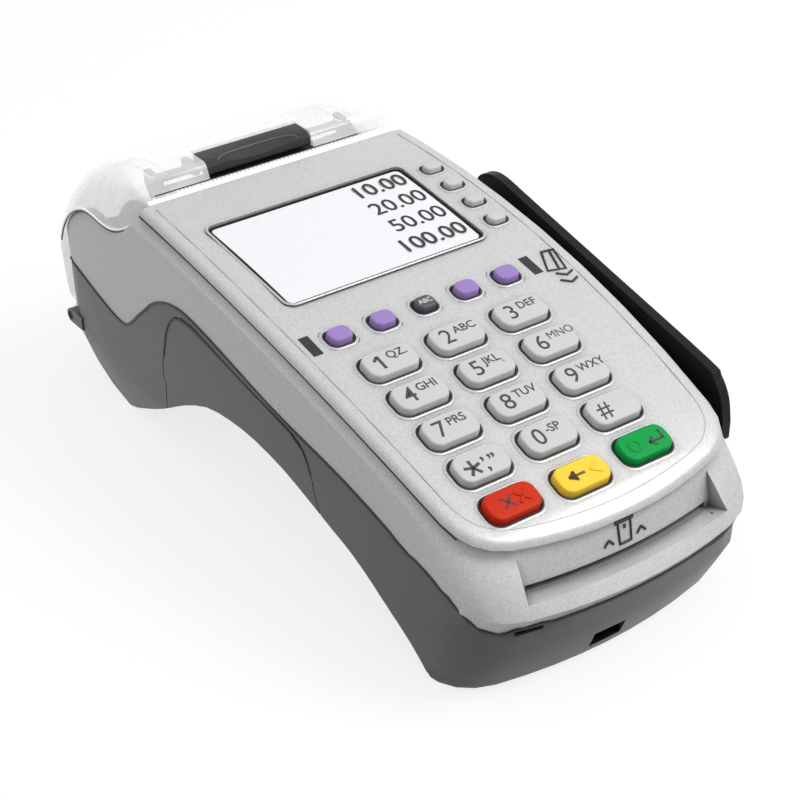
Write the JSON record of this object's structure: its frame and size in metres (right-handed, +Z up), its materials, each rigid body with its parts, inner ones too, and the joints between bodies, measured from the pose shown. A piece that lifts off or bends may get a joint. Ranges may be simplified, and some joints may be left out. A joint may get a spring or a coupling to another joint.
{
  "type": "payment terminal",
  "caption": "Counter-top payment terminal with a bowed keypad case, display, chip card and swipe slots, and a receipt printer under a hinged clear cover.",
  "frame": {"origin": "middle of the footprint, on the surface that the feet stand on", "axes": "+X to the right as the user reads the keys, +Y from the keypad's front edge to the printer, +Z up"},
  "size_m": [0.098, 0.2079, 0.0752],
  "materials": {
    "silver_shell": "silver metallic paint on moulded plastic, satin",
    "dark_shell": "fine-textured moulded plastic",
    "black_plastic": "moulded, satin",
    "frosted_clear": "clear polycarbonate, frosted",
    "clear_sheet": "clear acrylic sheet",
    "display_glass": "liquid crystal cell behind glass",
    "latch_grey": "moulded, satin",
    "key_grey": "moulded, matt",
    "key_purple": "moulded, matt",
    "key_dark": "moulded, matt",
    "key_red": "moulded, matt",
    "key_yellow": "moulded, matt",
    "key_green": "moulded, matt",
    "rubber": "moulded rubber",
    "steel": "drawn or stamped steel",
    "circuit_board": "glass-epoxy laminate",
    "white_acetal": "moulded acetal",
    "brass": "cut brass",
    "paper": "thermal paper, wound"
  },
  "bodies": {
    "case": {"top_housing": "silver_shell", "base_housing": "dark_shell", "underside_door": "dark_shell", "swipe_rail": "black_plastic", "hinge_pin": "black_plastic", "tear_bar": "steel", "display_bezel": "black_plastic", "display_lens": "clear_sheet", "display_panel": "display_glass", "keypad_mat": "rubber", "keypad_board": "circuit_board", "main_board": "circuit_board", "card_reader": "black_plastic", "stripe_head": "steel", "buzzer": "black_plastic", "backup_cell": "steel", "printer_frame": "black_plastic", "print_head": "steel", "feed_motor": "steel", "paper_tray": "black_plastic", "power_socket": "black_plastic", "network_socket": "steel", "phone_socket": "black_plastic", "rubber_feet": "rubber", "case_screws": "steel"},
    "cover": {"paper_cover": "frosted_clear", "cover_frame": "black_plastic", "latch_pin": "steel"},
    "latch": {"cover_latch": "latch_grey"},
    "platen": {"platen_roller": "rubber", "platen_shaft": "steel", "platen_gear": "white_acetal"},
    "idler": {"idler_gear": "white_acetal"},
    "pinion": {"motor_pinion": "brass"},
    "roll": {"paper_roll": "paper"},
    "key_1_cap": {"key_1": "key_grey"},
    "key_2_cap": {"key_2": "key_grey"},
    "key_3_cap": {"key_3": "key_grey"},
    "key_4_cap": {"key_4": "key_grey"},
    "key_5_cap": {"key_5": "key_grey"},
    "key_6_cap": {"key_6": "key_grey"},
    "key_7_cap": {"key_7": "key_grey"},
    "key_8_cap": {"key_8": "key_grey"},
    "key_9_cap": {"key_9": "key_grey"},
    "key_star_cap": {"key_star": "key_grey"},
    "key_0_cap": {"key_0": "key_grey"},
    "key_hash_cap": {"key_hash": "key_grey"},
    "cancel_key_cap": {"cancel_key": "key_red"},
    "clear_key_cap": {"clear_key": "key_yellow"},
    "enter_key_cap": {"enter_key": "key_green"},
    "function_key_1_cap": {"function_key_1": "key_purple"},
    "function_key_2_cap": {"function_key_2": "key_purple"},
    "letter_key_cap": {"letter_key": "key_dark"},
    "function_key_3_cap": {"function_key_3": "key_purple"},
    "function_key_4_cap": {"function_key_4": "key_purple"},
    "screen_key_1_cap": {"screen_key_1": "key_grey"},
    "screen_key_2_cap": {"screen_key_2": "key_grey"},
    "screen_key_3_cap": {"screen_key_3": "key_grey"},
    "screen_key_4_cap": {"screen_key_4": "key_grey"}
  },
  "joints": [
    {"name": "cover_hinge", "type": "hinge", "parent": "case", "child": "cover", "pos_m": [0, 0.0986, 0.017], "axis": [-1, 0, 0], "range_deg": [0, 80]},
    {"name": "latch_tip", "type": "hinge", "parent": "cover", "child": "latch", "pos_m": [0, 0.0643, 0.0719], "axis": [-1, 0, 0], "range_deg": [0, 18], "stiffness_Nm_per_rad": 0.05, "springref_deg": -5.73},
    {"name": "platen_spin", "type": "hinge", "parent": "cover", "child": "platen", "pos_m": [0, 0.0615, 0.0644], "axis": [1, 0, 0], "continuous": true},
    {"name": "idler_spin", "type": "hinge", "parent": "case", "child": "idler", "pos_m": [0, 0.05103, 0.05952], "axis": [1, 0, 0], "continuous": true},
    {"name": "pinion_spin", "type": "hinge", "parent": "case", "child": "pinion", "pos_m": [0, 0.04468, 0.0538], "axis": [1, 0, 0], "continuous": true},
    {"name": "roll_spin", "type": "hinge", "parent": "case", "child": "roll", "pos_m": [0, 0.0755, 0.0377], "axis": [1, 0, 0], "continuous": true},
    {"name": "key_1_press", "type": "slide", "parent": "case", "child": "key_1_cap", "axis": [0, 0.2309, -0.973], "range_m": [0, 0.0012], "stiffness_N_per_m": 600, "springref_m": -0.0005},
    {"name": "key_2_press", "type": "slide", "parent": "case", "child": "key_2_cap", "axis": [0, 0.2309, -0.973], "range_m": [0, 0.0012], "stiffness_N_per_m": 600, "springref_m": -0.0005},
    {"name": "key_3_press", "type": "slide", "parent": "case", "child": "key_3_cap", "axis": [0, 0.2309, -0.973], "range_m": [0, 0.0012], "stiffness_N_per_m": 600, "springref_m": -0.0005},
    {"name": "key_4_press", "type": "slide", "parent": "case", "child": "key_4_cap", "axis": [0, 0.2582, -0.9661], "range_m": [0, 0.0012], "stiffness_N_per_m": 600, "springref_m": -0.0005},
    {"name": "key_5_press", "type": "slide", "parent": "case", "child": "key_5_cap", "axis": [0, 0.2582, -0.9661], "range_m": [0, 0.0012], "stiffness_N_per_m": 600, "springref_m": -0.0005},
    {"name": "key_6_press", "type": "slide", "parent": "case", "child": "key_6_cap", "axis": [0, 0.2582, -0.9661], "range_m": [0, 0.0012], "stiffness_N_per_m": 600, "springref_m": -0.0005},
    {"name": "key_7_press", "type": "slide", "parent": "case", "child": "key_7_cap", "axis": [0, 0.2852, -0.9585], "range_m": [0, 0.0012], "stiffness_N_per_m": 600, "springref_m": -0.0005},
    {"name": "key_8_press", "type": "slide", "parent": "case", "child": "key_8_cap", "axis": [0, 0.2852, -0.9585], "range_m": [0, 0.0012], "stiffness_N_per_m": 600, "springref_m": -0.0005},
    {"name": "key_9_press", "type": "slide", "parent": "case", "child": "key_9_cap", "axis": [0, 0.2852, -0.9585], "range_m": [0, 0.0012], "stiffness_N_per_m": 600, "springref_m": -0.0005},
    {"name": "key_star_press", "type": "slide", "parent": "case", "child": "key_star_cap", "axis": [0, 0.3121, -0.9501], "range_m": [0, 0.0012], "stiffness_N_per_m": 600, "springref_m": -0.0005},
    {"name": "key_0_press", "type": "slide", "parent": "case", "child": "key_0_cap", "axis": [0, 0.3121, -0.9501], "range_m": [0, 0.0012], "stiffness_N_per_m": 600, "springref_m": -0.0005},
    {"name": "key_hash_press", "type": "slide", "parent": "case", "child": "key_hash_cap", "axis": [0, 0.3121, -0.9501], "range_m": [0, 0.0012], "stiffness_N_per_m": 600, "springref_m": -0.0005},
    {"name": "cancel_key_press", "type": "slide", "parent": "case", "child": "cancel_key_cap", "axis": [0, 0.3382, -0.9411], "range_m": [0, 0.0012], "stiffness_N_per_m": 600, "springref_m": -0.0005},
    {"name": "clear_key_press", "type": "slide", "parent": "case", "child": "clear_key_cap", "axis": [0, 0.34, -0.9404], "range_m": [0, 0.0012], "stiffness_N_per_m": 600, "springref_m": -0.0005},
    {"name": "enter_key_press", "type": "slide", "parent": "case", "child": "enter_key_cap", "axis": [0, 0.3382, -0.9411], "range_m": [0, 0.0012], "stiffness_N_per_m": 600, "springref_m": -0.0005},
    {"name": "function_key_1_press", "type": "slide", "parent": "case", "child": "function_key_1_cap", "axis": [0, 0.2, -0.9798], "range_m": [0, 0.0012], "stiffness_N_per_m": 600, "springref_m": -0.0005},
    {"name": "function_key_2_press", "type": "slide", "parent": "case", "child": "function_key_2_cap", "axis": [0, 0.2, -0.9798], "range_m": [0, 0.0012], "stiffness_N_per_m": 600, "springref_m": -0.0005},
    {"name": "letter_key_press", "type": "slide", "parent": "case", "child": "letter_key_cap", "axis": [0, 0.2, -0.9798], "range_m": [0, 0.0012], "stiffness_N_per_m": 600, "springref_m": -0.0005},
    {"name": "function_key_3_press", "type": "slide", "parent": "case", "child": "function_key_3_cap", "axis": [0, 0.2, -0.9798], "range_m": [0, 0.0012], "stiffness_N_per_m": 600, "springref_m": -0.0005},
    {"name": "function_key_4_press", "type": "slide", "parent": "case", "child": "function_key_4_cap", "axis": [0, 0.2, -0.9798], "range_m": [0, 0.0012], "stiffness_N_per_m": 600, "springref_m": -0.0005},
    {"name": "screen_key_1_press", "type": "slide", "parent": "case", "child": "screen_key_1_cap", "axis": [0, 0.0886, -0.9961], "range_m": [0, 0.0012], "stiffness_N_per_m": 600, "springref_m": -0.0005},
    {"name": "screen_key_2_press", "type": "slide", "parent": "case", "child": "screen_key_2_cap", "axis": [0, 0.1102, -0.9939], "range_m": [0, 0.0012], "stiffness_N_per_m": 600, "springref_m": -0.0005},
    {"name": "screen_key_3_press", "type": "slide", "parent": "case", "child": "screen_key_3_cap", "axis": [0, 0.1318, -0.9913], "range_m": [0, 0.0012], "stiffness_N_per_m": 600, "springref_m": -0.0005},
    {"name": "screen_key_4_press", "type": "slide", "parent": "case", "child": "screen_key_4_cap", "axis": [0, 0.1532, -0.9882], "range_m": [0, 0.0012], "stiffness_N_per_m": 600, "springref_m": -0.0005}
  ],
  "couplings": [
    {"joint": "idler_spin", "follows": "platen_spin", "ratio": -1.0909},
    {"joint": "pinion_spin", "follows": "platen_spin", "ratio": 2}
  ]
}
